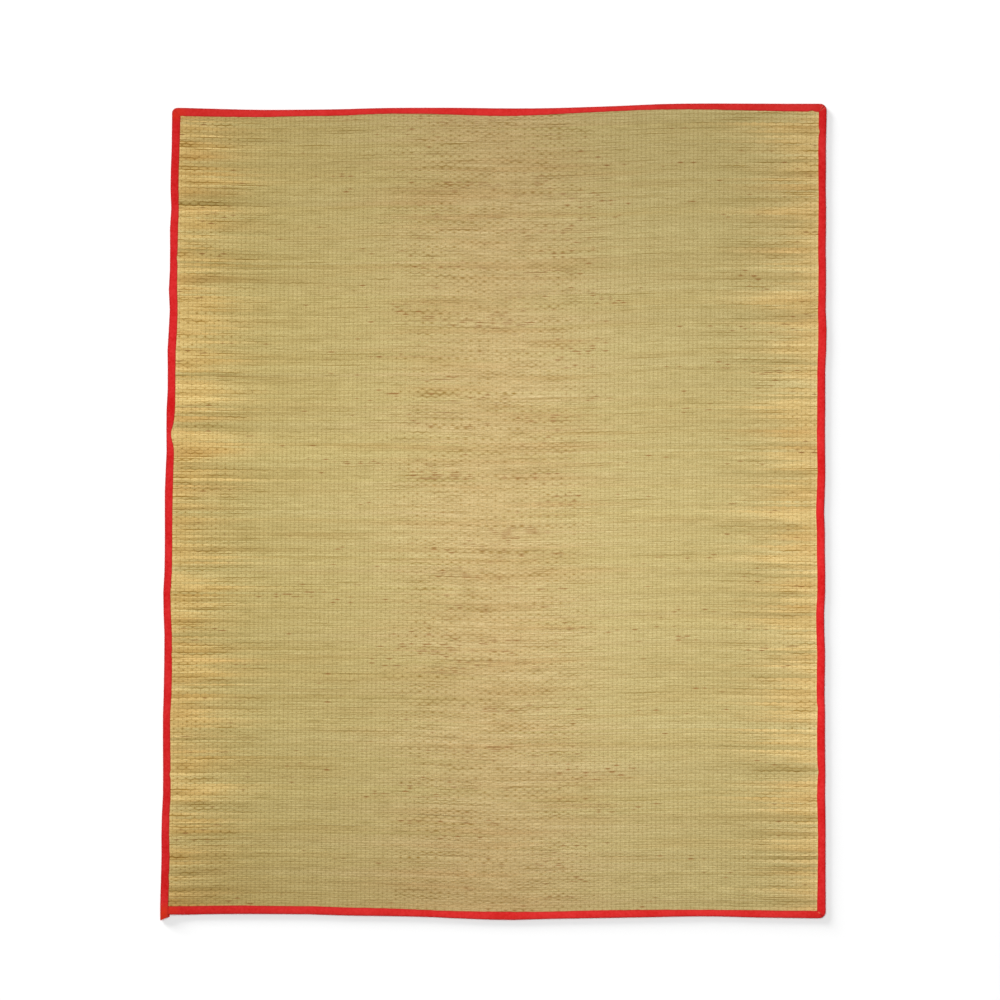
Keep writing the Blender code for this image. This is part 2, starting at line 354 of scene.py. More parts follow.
class Strands:
    """Collects closed tubes, each a row of rings, with values at its points."""

    def __init__(self):
        self.points = []
        self.faces = []
        self.materials = []
        self.values = {}
        self.count = 0

    def add(self, rings, material=0, **values):
        """Adds one tube. Rings is an array of rings, points and coordinates. A value is one
        number, one for each ring, or one for each ring and point."""
        amount, sides = rings.shape[:2]
        index = self.count + np.arange(amount * sides).reshape(amount, sides)
        ahead = np.roll(index, -1, axis=1)
        quads = np.stack([index[:-1], ahead[:-1], ahead[1:], index[1:]], axis=-1).reshape(-1, 4)
        self.faces += quads.tolist()
        self.faces += [index[0][::-1].tolist(), index[-1].tolist()]
        self.materials += [material] * (len(quads) + 2)
        self.points.append(rings.reshape(-1, 3))
        for name, value in values.items():
            value = np.asarray(value, float)
            spread = np.broadcast_to(value[:, None] if value.ndim == 1 else value, (amount, sides))
            self.values.setdefault(name, []).append((self.count, spread.ravel()))
        self.count += amount * sides

    def build(self, name, materials):
        """Makes the mesh and its object, with each kind of value as a named attribute."""
        mesh = bpy.data.meshes.new(name)
        points = np.concatenate(self.points)
        mesh.from_pydata(points.tolist(), [], self.faces)
        for material in materials:
            mesh.materials.append(material)
        mesh.polygons.foreach_set("material_index", self.materials)
        mesh.shade_smooth()
        mesh.set_sharp_from_angle(angle=SHARP_ANGLE)
        for key, parts in self.values.items():
            whole = np.zeros(self.count, np.float32)
            for start, part in parts:
                whole[start : start + len(part)] = part
            mesh.attributes.new(key, "FLOAT", "POINT").data.foreach_set("value", whole)
        lay_map(mesh, points)
        return add_object(name, mesh)


def lay_map(mesh, points):
    """A map seen from above, so that a baked picture keeps each straw's colour."""
    low, high = points.min(0), points.max(0)
    corners = np.empty(len(mesh.loops), np.int32)
    mesh.loops.foreach_get("vertex_index", corners)
    places = (points[corners, :2] - low[:2]) / (high - low)[:2]
    mesh.uv_layers.new(name="OFBake").data.foreach_set("uv", places.astype(np.float32).ravel())


# The weave


def soft_noise(wave, row, x):
    """Smooth noise of about unit spread along a row or a border, at each place of an array."""
    places = x / wave.length
    y = row * wave.step
    return NOISE_GAIN * np.array([noise.noise(Vector((place, y, wave.seed))) for place in places])


def zone_value(name, x):
    """A value of the zones' table at each place of an array, read from the mat's middle out."""
    places = [zone.place for zone in ZONES]
    return np.interp(np.abs(x), places, [getattr(zone, name) for zone in ZONES])


def right_share(x):
    """How far places x lie to the right, from 0 to 1."""
    return np.interp(x, RIGHT_PLACES, [0, 1])


def calm_value(name, x):
    """A value of the zones' table that is less to the right."""
    return zone_value(name, x) * (1 - RIGHT_CALM * right_share(x))


def row_borders():
    """The rows' borders from 0 at the bottom edge to 1 at the top, of uneven heights."""
    heights = np.clip(random.normal(1, ROW_SPREAD, ROW_COUNT), ROW_LEAST, ROW_MOST)
    borders = np.concatenate([[0], np.cumsum(heights)])
    return borders / borders[-1]


# The straight lines nearest to the folds at the left and right, as slopes and middles
SIDE_LINES = [np.polyfit(*FOLDS[side], 1) for side in (LEFT, RIGHT)]


def warp_places(y):
    """Where the warp threads cross the height y, evenly spread from side to side."""
    left, right = (np.polyval(line, y) for line in SIDE_LINES)
    shares = (np.arange(WARP_COUNT) + 0.5) / WARP_COUNT
    return left + (right - left) * shares


def wander(x, share):
    """How far the straws stray from their line, more so near the mat's left and right edges."""
    row = share * ROW_COUNT
    edge = np.interp(np.abs(x), EDGE_PLACES, [0, 1])
    slow = LONG_DEPTH * soft_noise(LONG_WANDER, row, x)
    quick = (SHORT_DEPTH + EDGE_DEPTH * edge) * soft_noise(SHORT_WANDER, row, x)
    return slow + quick


def height_at(x, share):
    """The Y of a row's line at places x, for a share of the way from bottom edge to top."""
    level = panel_edge(BOTTOM, x) * (1 - share) + panel_edge(TOP, x) * share
    free = min(share, 1 - share, WANDER_FADE) / WANDER_FADE
    return level + free * wander(x, share)


def rounded_end(side, y):
    """Where a row at height y ends at a left or right side, drawn in at the rounded corners."""
    end = panel_edge(side, y)
    for corner in CORNERS:
        radius = corner.radius - PANEL_EDGE
        depth = abs(panel_edge(corner.level, end) - y)
        if corner.upright is side and depth < radius:
            end -= side.sign * (radius - (radius**2 - (radius - depth) ** 2) ** 0.5)
    return end


# A row's places at its threads: its lower and upper border, the panel there, whether the straw is
# over the thread, 1, or under it, 0, and the thread's number. The straws' ends come first and last
Crossings = namedtuple("Crossings", "x low high base thick over thread")


def border_line(border, borders, x, over):
    """The Y of the border between two rows, which bows towards the straw that is under, by a
    share of half their mean height."""
    below, above = borders[max(border - 1, 0)], borders[min(border + 1, ROW_COUNT)]
    half = (above - below) / 4 * (height_at(x, 1) - height_at(x, 0))
    bow = np.maximum(1 + BOW_SPREAD * soft_noise(BOW_WAVE, border, x), 0)
    return height_at(x, borders[border]) - zone_value("swell", x) * bow * half * (2 * over - 1)


def row_crossings(row, borders):
    y_middle = height_at(np.zeros(1), (borders[row] + borders[row + 1]) / 2)[0]
    x = warp_places(y_middle)
    left, right = rounded_end(LEFT, y_middle), rounded_end(RIGHT, y_middle)
    inside = (x > left + END_MARGIN) & (x < right - END_MARGIN)
    thread = np.flatnonzero(inside)
    x = np.concatenate([[left], x[inside], [right]])
    over = np.concatenate([[0.5], (thread + row) % 2, [0.5]])
    thread = np.concatenate([[thread[0] - 0.5], thread, [thread[-1] + 0.5]])
    low = border_line(row, borders, x, over)
    high = border_line(row + 1, borders, x, 1 - over)
    levels = np.array([panel_levels(*place) for place in zip(x, (low + high) / 2)])
    return Crossings(x, low, high, levels[:, 0], levels[:, 1], over, thread)


def gap_along(border, x):
    """How far a row's border drops at places x, from 0 to 1, which darkens it with painted shade
    too.
    """
    return np.clip((soft_noise(GAP_WAVE, border, x) - GAP_FROM) / GAP_RANGE, 0, 1)


def border_along(border, x):
    """How much painted shade darkens a row's border at places x."""
    wave = soft_noise(BORDER_WAVE, border, x)
    dark = BORDER_LEAST + BORDER_SOFT * wave + BORDER_STRONG * np.maximum(wave - BORDER_FROM, 0)
    near_top = np.interp(border / ROW_COUNT, [TOP_FROM, 1], [0, 1])
    return calm_value("border", x) * np.maximum(dark, 0) * (1 + TOP_GAIN * near_top)


def brown_along(border, x):
    """How brown a row's border is at places x: single dashes, in loose clusters."""
    single = soft_noise(BROWN_WAVE, border, x)
    cluster = soft_noise(CLUSTER_WAVE, border, x)
    return np.clip(single + CLUSTER_SHARE * cluster + zone_value("brown", x) - BROWN_FROM, 0, 1)


def dots_along(row, x):
    """How plainly a row shows its dots of painted shade at places x."""
    return np.maximum(DOTS_MEAN + DOTS_SPREAD * soft_noise(DOTS_WAVE, row, x), DOTS_LEAST)


def tone_along(row, thin, x):
    """A row's light or dark tone at places x, for a row that is thin by a share, which paints it
    paler as a highlight.
    """
    band = BAND_SHARE * soft_noise(BAND_WAVE, row, x)
    streak = STREAK_SHARE * soft_noise(STREAK_WAVE, row, x)
    return calm_value("tone", x) * (band + streak + THIN_HIGHLIGHT * thin)


def end_shares(row):
    """How near a row is to the mat's bottom and to its top edge, from 0 to 1."""
    share = (row + 0.5) / ROW_COUNT
    return max(1 - share / END_SHARE, 0), max(1 - (1 - share) / END_SHARE, 0)


def warm_along(row, x):
    """How much warmer a row's colour is at places x."""
    band = np.maximum(soft_noise(WARM_WAVE, row, x) - WARM_FROM, 0)
    bottom, top = end_shares(row)
    ends = (WARM_ENDS[0] * bottom + WARM_ENDS[1] * top) * (1 - right_share(x))
    return np.clip(zone_value("warm", x) * band + ends, 0, 1)


# A ring's points: the low edge, the high edge, and the crown's high and low side
ACROSS = np.array([-1.0, 1.0, CROWN, -CROWN])


def around(value_along, row, x):
    """A value of a row's lower and upper border, at each ring's points."""
    below, above = value_along(row, x), value_along(row + 1, x)
    return np.stack([below, above, above, below], axis=1)


def straw_rings(x, low, high, bottom, top, edges):
    """A straw's rings: two low edges and a flattened crown between them."""
    y = ((low + high) / 2)[:, None] + ((high - low) / 2)[:, None] * ACROSS
    z = np.stack([*(bottom + edge * (top - bottom) for edge in edges), top, top], axis=1)
    return np.stack([np.broadcast_to(x[:, None], y.shape), y, z], axis=-1)


def straw_tips(c):
    """Where the straws from the left and from the right end, each at a thread past the middle."""
    left = np.searchsorted(c.x, random.uniform(TIP_NEAREST, TIP_FURTHEST))
    right = np.searchsorted(c.x, -random.uniform(TIP_NEAREST, TIP_FURTHEST))
    return c.x[left], c.x[right]


def row_looks(row, thin, c):
    """What a row's straws are coloured by, at each ring or at each point of it."""
    # Painted shade where a thread presses the straw down
    press = (1 - c.over) * calm_value("press", c.x) * dots_along(row, c.x)
    press *= random.uniform(*DOT_RANGE, len(press))
    # Painted shade along the row's borders and in the dark lines of its gaps
    dark = around(border_along, row, c.x) * (BORDER_OVER + BORDER_DIP * (1 - c.over))[:, None]
    gaps = around(gap_along, row, c.x) * (1 - GAP_OVER * c.over)[:, None]
    return {
        "press": press,
        "groove": np.maximum(dark, gaps),
        "brown": around(brown_along, row, c.x),
        "tone": tone_along(row, thin, c.x),
        "warm": warm_along(row, c.x),
        "cool": right_share(c.x),
        "across": np.broadcast_to(ACROSS, gaps.shape),
        "dash": zone_value("dash", c.x),
        "grid": zone_value("grid", c.x),
        "thread": c.thread,
    }


def root_start(row, from_left):
    """How far from its root a straw's colours start."""
    drift = NOISE_GAIN * noise.noise(Vector((row / ROOT_ROWS, from_left, ROOT_SEED)))
    return ROOT_DRIFT * drift + random.normal(0, ROOT_SPREAD) + ROOT_BOTTOM * end_shares(row)[0]


def straws_of_row(strands, row, thin, c):
    """Lays a row's two straws: each is thick at its own side's edge and ends in a thin tip."""
    low = c.low - OVERLAP - random.uniform(0, OVERLAP, len(c.x))
    high = c.high + OVERLAP + random.uniform(0, OVERLAP, len(c.x))
    bottom = c.base + c.thick * (DIP_BOTTOM + (RISE_BOTTOM - DIP_BOTTOM) * c.over)
    top = c.base + c.thick * (DIP_TOP + (RISE_TOP - DIP_TOP) * c.over)
    edges = [zone_value("edge", c.x) - GAP_DROP * gap_along(row + up, c.x) for up in (0, 1)]
    looks = row_looks(row, thin, c)
    left_tip, right_tip = straw_tips(c)
    share = np.interp(c.x, [right_tip, left_tip], [1 - TIP_SHARE, TIP_SHARE])
    share = np.where(c.x < right_tip, 1.0, np.where(c.x > left_tip, 0.0, share))
    left_below = random.random() < 0.5
    split = low + (high - low) * (share if left_below else 1 - share)
    for from_left in (True, False):
        reach = c.x <= left_tip if from_left else c.x >= right_tip
        y_low, y_high = (low, split) if from_left == left_below else (split, high)
        rings = straw_rings(c.x, y_low, y_high, bottom, top, edges)[reach]
        root = (c.x - c.x[0] if from_left else c.x[-1] - c.x)[reach]
        start = root_start(row, from_left)
        own = {name: values[reach] for name, values in looks.items()}
        own["tone"] += random.normal(0, OWN_TONE) + np.interp(root, END_FADE, [END_LIGHT, 0])
        strands.add(rings, from_root=root + start, **own)


def thread_rings(x, y, z):
    """A thin three-sided thread, one point of it up."""
    rings = np.empty((len(x), THREAD_SIDES, 3))
    for corner in range(THREAD_SIDES):
        turn = pi / 2 - 2 * pi * corner / THREAD_SIDES
        rings[:, corner, 0] = x + WARP_RADIUS * cos(turn)
        rings[:, corner, 1] = y
        rings[:, corner, 2] = z + WARP_RADIUS * sin(turn)
    return rings


def thread_point(c, at):
    """Where a thread passes a row: just under its straw or just over it."""
    share, way = (RISE_BOTTOM, -1) if c.over[at] else (DIP_TOP, 1)
    z = c.base[at] + share * c.thick[at] + way * THREAD_OUT * WARP_RADIUS
    return c.x[at], (c.low[at] + c.high[at]) / 2, z


def threads_of_band(strands, rows, low, high):
    """Lays a band's warp threads over and under its rows, from one border to the other."""
    for warp in range(WARP_COUNT):
        path = []
        for c in rows:
            at = warp - int(c.thread[1]) + 1
            if 0 < at < len(c.x) - 1:
                path.append(thread_point(c, at))
        if len(path) > 1:
            x, y, z = np.array([path[0], *path, path[-1]]).T
            y[0], y[-1] = height_at(x[:1], low)[0], height_at(x[-1:], high)[0]
            strands.add(thread_rings(x, y, z), material=1)


def woven_bands():
    """The woven panel as straws and threads, in bands of rows that keep each mesh small."""
    borders = row_borders()
    worn = thread_material("warp_thread", WORN_GRAIN, WORN_THREAD, THREAD, THREAD_ROUGHNESS)
    materials = [straw_material(), worn]
    thin = 1 - np.diff(borders) * ROW_COUNT
    rows = [row_crossings(row, borders) for row in range(ROW_COUNT)]
    ends = [round(ROW_COUNT * band / BAND_COUNT) for band in range(BAND_COUNT + 1)]
    bands = []
    for number, (first, last) in enumerate(zip(ends, ends[1:]), 1):
        strands = Strands()
        for row in range(first, last):
            straws_of_row(strands, row, thin[row], rows[row])
        threads_of_band(strands, rows[first:last], borders[first], borders[last])
        bands.append(strands.build(f"woven_band_{number}", materials))
    return bands


# The folded tape

# One place along the tape: its fold, its inner edge, the lowest and highest level there, how far
# in its hidden underside reaches, how near a mitre's seam is, which sinks the tape and darkens it
# with painted shade, and how near the ridges beside the seam are, lightened by a painted highlight
Station = namedtuple("Station", "fold inner low high inside seam ridge", defaults=(0.0, 0.0))

# A mitre's stations, in degrees about its inner corner, its seam's place, width and depth, how
# far off the ridges beside it lie, and by how much its upper layer rises up to the last turn
# before the seam
FAN_TURNS = (0, 9, 18, 27, 34, 38, 41, 43, 45, 47, 49, 52, 56, 63, 72, 81, 90)
SEAM_TURN = 45
SEAM_TURNS = 4.5
SEAM_DEPTH = 0.5 * MM
RIDGE_OFF = 10
MITRE_STEP = 0.4 * MM
LAST_TURN = 43
WELD_DISTANCE = 0.01 * MM
TINY = 1e-9

# Small notches of the inner edge: side, and in millimetres place along it, depth and half length,
# over which a notch falls off as a bell
Notch = namedtuple("Notch", "side along depth reach")
NOTCHES = (
    Notch(TOP, 716, 3.0, 7),
    Notch(TOP, -702, 2.0, 4),
    Notch(BOTTOM, 300, 0.8, 14),
    Notch(RIGHT, 855, 2.4, 9),
    Notch(RIGHT, -441, 1.4, 9),
    Notch(RIGHT, -583, 1.2, 12),
    Notch(LEFT, 572, 1.8, 8),
    Notch(LEFT, 172, 4.4, 27),
    Notch(LEFT, -320, 1.2, 9),
    Notch(LEFT, -590, 2.2, 9),
    Notch(LEFT, -819, 1.0, 12),
)
NOTCH_FALL = 2
EDGE_WAVE = 0.5 * MM
EDGE_WAVE_LENGTH = 16 * MM
EDGE_SEEDS = (7.3, 3.1)


def uneven(side, along):
    """The inner edge's fine unevenness, outward."""
    seeds = (side.axis * EDGE_SEEDS[0], side.sign * EDGE_SEEDS[1])
    depth = EDGE_WAVE * noise.noise(Vector((along / EDGE_WAVE_LENGTH, *seeds)))
    for notch in NOTCHES:
        if notch.side is side:
            off = (along / MM - notch.along) / notch.reach
            depth += notch.depth * MM * exp(-NOTCH_FALL * off**2)
    return depth


def straight_station(side, along, low=0.0, high=FOLD_HEIGHT):
    inner = inner_at(side, along) + side.sign * uneven(side, along)
    across = (fold_at(side, along), inner, inner - side.sign * UNDERSIDE_SETBACK)
    fold, inner, inside = [side_point(side, place, along, 0).xy for place in across]
    return Station(fold, inner, low, high, inside)


def places_between(start, end):
    """Even places from start to end, in whichever way that runs."""
    count = max(int(abs(end - start) / TAPE_STEP), 2)
    return np.linspace(start, end, count + 1)


def fan(corner, level_first, plain, ridged):
    """A mitred corner: stations that turn about the inner corner, round the outer one. The run
    along the level side folds over the other. Plain says how deep its seam sinks and how dark its
    painted shade is, ridged how light the painted highlight on the ridges beside the seam is."""
    inner = Vector(corner.inner)
    inside = inner - Vector((corner.upright.sign, corner.level.sign)) * UNDERSIDE_SETBACK
    stations = []
    for turn in FAN_TURNS if level_first else FAN_TURNS[::-1]:
        off = turn - SEAM_TURN
        seam = plain * exp(-((off / SEAM_TURNS) ** 2))
        ridge = ridged * exp(-(((abs(off) - RIDGE_OFF) / SEAM_TURNS) ** 2))
        high = FOLD_HEIGHT + (MITRE_STEP * turn / LAST_TURN if turn < SEAM_TURN else 0.0)
        place = outer_place(corner, radians(turn))
        stations.append(Station(place, inner, 0.0, high, inside, seam, ridge))
    return stations


def outer_place(corner, turn):
    """Where a ray from the inner corner, turned from the level side's outward way towards the
    upright side's, meets the rounded outer corner."""
    way = Vector((corner.upright.sign * sin(turn), corner.level.sign * cos(turn)))
    wide = abs(corner.fold[0] - corner.inner[0])
    high = abs(corner.fold[1] - corner.inner[1])
    reach = min(wide / max(abs(way.x), TINY), high / max(abs(way.y), TINY))
    x_centre = corner.upright.sign * (wide - corner.radius)
    centre = Vector((x_centre, corner.level.sign * (high - corner.radius)))
    along = centre.dot(way)
    off = centre.length_squared - along**2
    if off < corner.radius**2:
        arc = along + (corner.radius**2 - off) ** 0.5
        met = way * arc
        if abs(met.x) > wide - corner.radius and abs(met.y) > high - corner.radius:
            reach = min(reach, arc)
    return Vector(corner.inner) + way * reach


def overlap_levels(distance):
    """How far the corner's overlap lifts a layer, at a distance from the inner corner."""
    share = np.interp(distance, [OVERLAP_START, OVERLAP_END], [0, 1])
    return LAYER_STEP * (1 - share * share * (3 - 2 * share))


def bottom_run():
    """From the tape's start, which lies over its end, to the bottom right corner."""
    x_in = BOTTOM_LEFT.inner[0]
    edge = BOTTOM_LEFT.fold[0]
    level_inner = inner_at(BOTTOM, x_in + INNER_CLEARANCE)
    stations = []
    for along in places_between(edge + TAPE_START, x_in + INNER_CLEARANCE)[:-1]:
        fold = Vector((along, fold_at(BOTTOM, max(along, edge + OVERLAP_START))))
        inner = Vector((along, level_inner))
        inside = inner + Vector((0, UNDERSIDE_SETBACK))
        stations.append(Station(fold, inner, LAYER_STEP, LAYER_STEP + FOLD_HEIGHT, inside))
    for along in places_between(x_in + INNER_CLEARANCE, BOTTOM_RIGHT.inner[0] - INNER_CLEARANCE):
        lift = overlap_levels(along - x_in)
        stations.append(straight_station(BOTTOM, along, lift, lift + FOLD_HEIGHT))
    return stations


def right_run():
    start = BOTTOM_RIGHT.inner[1] + INNER_CLEARANCE
    end = TOP_RIGHT.inner[1] - INNER_CLEARANCE
    return [straight_station(RIGHT, along) for along in places_between(start, end)]


def top_run():
    start = TOP_RIGHT.inner[0] - INNER_CLEARANCE
    end = TOP_LEFT.inner[0] + INNER_CLEARANCE
    return [straight_station(TOP, along) for along in places_between(start, end)]


def left_run():
    """Down the left side and over the bottom run, to the raw cut tail past the corner."""
    y_in = BOTTOM_LEFT.inner[1]
    y_fold = BOTTOM_LEFT.fold[1]
    y_last = y_in + INNER_CLEARANCE
    stations = []
    for along in places_between(TOP_LEFT.inner[1] - INNER_CLEARANCE, y_last):
        lift = 2 * overlap_levels(along - y_in)
        stations.append(straight_station(LEFT, along, 0.0, FOLD_HEIGHT + lift))
    y_tip = cad_box[0].y
    x_fold = fold_at(LEFT, y_in)
    x_inner = inner_at(LEFT, y_last)
    for share in np.linspace(0, 1, TAIL_STEPS + 1)[1:]:
        y_outer = y_last + (y_tip - y_last) * share
        high = np.interp(y_outer, [y_tip, y_fold], [TAIL_HEIGHT, FOLD_HEIGHT + 2 * LAYER_STEP])
        inner = Vector((x_inner, y_outer + TAIL_SLANT * share))
        inside = inner + Vector((UNDERSIDE_SETBACK, 0))
        stations.append(Station(Vector((x_fold, y_outer)), inner, 0.0, high, inside))
    return stations


def tape_stations():
    return (
        bottom_run()
        + fan(BOTTOM_RIGHT, level_first=True, plain=1.0, ridged=0.0)
        + right_run()
        + fan(TOP_RIGHT, level_first=False, plain=0.9, ridged=0.7)
        + top_run()
        + fan(TOP_LEFT, level_first=True, plain=0.3, ridged=0.0)
        + left_run()
    )


# The tape's outer skin, from its inner edge on top round the fold to the underside: a place
# inward from the fold, as a share of the band and millimetres more, and a level, as a share of
# the fold's height and millimetres more. Press is how far a mitre's seam sinks it, and the last how
# much painted shade darkens the cloth there, at the fold and at the inner edge
Skin = namedtuple("Skin", "share extra level rise press rim")
OUTER_SKIN = (
    Skin(1, 0, 1, -0.80, 0, 1),
    Skin(1, -0.5, 1, -0.52, 0, 0.8),
    Skin(1, -1.5, 1, -0.42, 0.6, 0.2),
    Skin(1, -2.6, 1, -0.52, 0.8, 0.15),
    Skin(1, -3.9, 1, -0.30, 1, 0),
    Skin(0.62, 0, 1, -0.05, 1, 0),
    Skin(0.38, 0, 1, 0, 1, 0),
    Skin(0, 2.9, 1, -0.22, 1, 0.05),
    Skin(0, 1.6, 1, -0.60, 0.8, 0.45),
    Skin(0, 0.55, 1, -1.10, 0.4, 0.9),
    Skin(0, 0, 0.5, 0, 0, 1),
    Skin(0, 0.6, 0, 0.75, 0, 1),
    Skin(0, 2, 0, 0.12, 0, 0.5),
    Skin(0.5, 0, 0, 0, 0, 0),
)
HIDDEN = [0.0] * (len(OUTER_SKIN) + 2)
RIM_SHADES = np.array([skin.rim for skin in OUTER_SKIN] + HIDDEN)
PRESSES = np.array([skin.press for skin in OUTER_SKIN] + HIDDEN)
TAIL_ORANGE = 46 * MM
CORNER_ORANGE = 20 * MM
CORNER_SHARE = 0.32
PALE_TOP = 0.3
PALE_BOTTOM = 0.2
FOLD_CENTRE = 2.2 * MM
FOLD_HALF = 0.3 * MM


def skin_point(station, skin):
    inward = station.inner - station.fold
    place = station.fold + inward * (skin.share + skin.extra * MM / inward.length)
    level = station.low + skin.level * (station.high - station.low) + skin.rise * MM
    return Vector((*place, level - skin.press * SEAM_DEPTH * station.seam))


def section_points(station):
    """The tape's closed section: its outer skin, and its inner one a cloth's thickness inside."""
    outer = [skin_point(station, skin) for skin in OUTER_SKIN]
    outer.append(Vector((*station.inside, station.low)))
    middle = station.fold + (station.inner - station.fold).normalized() * FOLD_CENTRE
    centre = Vector((*middle, (station.low + station.high) / 2))
    inner = []
    for point in outer:
        rise = point.z - centre.z
        if abs(rise) > FOLD_HALF:
            way = Vector((0, 0, -1 if rise > 0 else 1))
        else:
            way = Vector((*(centre - point).xy, 0)).normalized()
        inner.append(point + way * CLOTH)
    return outer + inner[::-1]


def weld(thing):
    """Joins the points that meet in the mitres' inner corners."""
    made = bmesh.new()
    made.from_mesh(thing.data)
    bmesh.ops.remove_doubles(made, verts=made.verts, dist=WELD_DISTANCE)
    bmesh.ops.recalc_face_normals(made, faces=made.faces)
    made.to_mesh(thing.data)
    made.free()


def closeness(stations, place, reach):
    """How near each station lies to a place, from 0 past the reach to 1 on it."""
    far = np.array([(station.inner - Vector(place)).length for station in stations])
    return np.clip(1 - far / reach, 0, 1)


def paleness(station):
    """How much paler the tape is along the mat's top side, and a little along its bottom side."""
    inward = (station.inner - station.fold).normalized()
    return max(-PALE_TOP * inward.y, PALE_BOTTOM * inward.y, 0.0)


def binding_tape():
    stations = tape_stations()
    rings = np.array([[tuple(point) for point in section_points(station)] for station in stations])
    orange = closeness(stations, (BOTTOM_LEFT.inner[0], cad_box[0].y), TAIL_ORANGE)
    orange = np.maximum(orange, CORNER_SHARE * closeness(stations, TOP_LEFT.inner, CORNER_ORANGE))
    seam = np.array([station.seam for station in stations])
    ridge = np.array([station.ridge for station in stations])[:, None] * PRESSES
    pale = np.array([paleness(station) for station in stations])
    strands = Strands()
    strands.add(rings, orange=orange, seam=seam, ridge=ridge, pale=pale, rim=RIM_SHADES[None, :])
    tape = strands.build("binding_tape_cloth", [tape_material()])
    weld(tape)
    return tape, stations


# Sewing


def capsule_rings(middle, reach, radius):
    """A short stitch that reaches both ways from its middle, where it is thick."""
    side = reach.cross(Vector((0, 0, 1))).normalized()
    up = side.cross(reach).normalized()
    rings = []
    for share, swell in STITCH_RINGS:
        ring = []
        for corner in range(STITCH_SIDES):
            turn = 2 * pi * corner / STITCH_SIDES
            out = (side * cos(turn) + up * sin(turn)) * radius * swell
            ring.append(middle + reach * share + out)
        rings.append([tuple(point) for point in ring])
    return np.array(rings)


def seam_line(stations):
    """The sewing line on the tape's top, one point at each station."""
    line = []
    for station in stations:
        inward = (station.inner - station.fold).normalized()
        line.append(Vector((*(station.inner - inward * SEAM_INSET), station.high - SEAM_SINK)))
    return line


def walk(line):
    """Places every stitch along a line, with the way at each."""
    places = []
    left = STITCH_PITCH
    for start, end in zip(line, line[1:]):
        way = end - start
        while left <= way.length:
            places.append((start + way.normalized() * left, way.normalized()))
            left += STITCH_PITCH
        left -= way.length
    return places


# Loose stitches that close the bottom right mitre, at a slant across its seam
TACK_PLACES = (4.6 * MM, 6.4 * MM, 8.2 * MM)
TACK_LENGTH = 3.6 * MM
TACK_SLANT = 1.2 * MM
TACK_RADIUS = 0.85 * MM
TACK_LIFT = 0.5 * MM


def corner_tacks(strands):
    inner = Vector(BOTTOM_RIGHT.inner)
    away = (Vector(BOTTOM_RIGHT.fold) - inner).normalized()
    for distance in TACK_PLACES:
        middle = Vector((*(inner + away * distance), FOLD_HEIGHT + TACK_LIFT))
        reach = Vector((-away.y, away.x, 0)) * TACK_LENGTH / 2 + Vector((*away, 0)) * TACK_SLANT
        strands.add(capsule_rings(middle, reach, TACK_RADIUS), material=1)


def sewing(stations):
    strands = Strands()
    for middle, way in walk(seam_line(stations)):
        strands.add(capsule_rings(middle, way * STITCH_LENGTH / 2, STITCH_RADIUS))
    corner_tacks(strands)
    kinds = (("sewing_thread", SEWING_RED, RED), ("tack_thread", TACK_ORANGE, RED_ORANGE))
    materials = [
        thread_material(name, TWIST_GRAIN, first, second, TWIST_ROUGHNESS)
        for name, first, second in kinds
    ]
    return strands.build("tape_sewing", materials)


# Materials


def new_material(name):
    made = bpy.data.materials.new(name)
    made.use_nodes = True
    return made, made.node_tree, made.node_tree.nodes["Principled BSDF"]


def feed(tree, socket, value):
    if isinstance(value, bpy.types.NodeSocket):
        tree.links.new(value, socket)
    elif isinstance(value, tuple):
        socket.default_value = value[: len(socket.default_value)]
    else:
        socket.default_value = value


def add_node(tree, kind, inputs, output, **settings):
    """Adds a node, feeds its inputs and hands on one of its outputs."""
    node = tree.nodes.new(kind)
    for key, value in settings.items():
        setattr(node, key, value)
    for socket, value in inputs.items():
        feed(tree, node.inputs[socket], value)
    return node.outputs[output]


def attribute(tree, name):
    return add_node(tree, "ShaderNodeAttribute", {}, "Fac", attribute_name=name)


def maths(tree, operation, first, second=0.5):
    return add_node(tree, "ShaderNodeMath", {0: first, 1: second}, 0, operation=operation)


def product(tree, *values):
    whole = values[0]
    for value in values[1:]:
        whole = maths(tree, "MULTIPLY", whole, value)
    return whole


def tinted(tree, colour, tint):
    return add_node(tree, "ShaderNodeVectorMath", {0: colour, 1: tint}, 0, operation="MULTIPLY")


# A Mix node's sockets for colours
MIX_SHARE = 0
MIX_FIRST = 6
MIX_SECOND = 7
MIX_RESULT = 2


def mixed(tree, share, first, second):
    inputs = {MIX_SHARE: share, MIX_FIRST: first, MIX_SECOND: second}
    return add_node(tree, "ShaderNodeMix", inputs, MIX_RESULT, data_type="RGBA")


def ranged(tree, value, low, high, to_low=0.0, to_high=1.0):
    inputs = {"Value": value, "From Min": low, "From Max": high}
    inputs |= {"To Min": to_low, "To Max": to_high}
    return add_node(tree, "ShaderNodeMapRange", inputs, "Result")


# A grain: noise with its scale along each axis, its detail, and the range that it is given
Grain = namedtuple("Grain", "scale detail low high", defaults=(0.0, 1.0))
NOISE_SPAN = (0.3, 0.7)


def raw_grain(tree, kind):
    """A grain's noise at the object's own places, not yet given its range."""
    places = add_node(tree, "ShaderNodeTexCoord", {}, "Object")
    scaled = add_node(tree, "ShaderNodeMapping", {"Vector": places, "Scale": kind.scale}, "Vector")
    inputs = {"Vector": scaled, "Scale": 1.0, "Detail": kind.detail}
    return add_node(tree, "ShaderNodeTexNoise", inputs, "Fac")


def grain(tree, kind):
    return ranged(tree, raw_grain(tree, kind), *NOISE_SPAN, kind.low, kind.high)


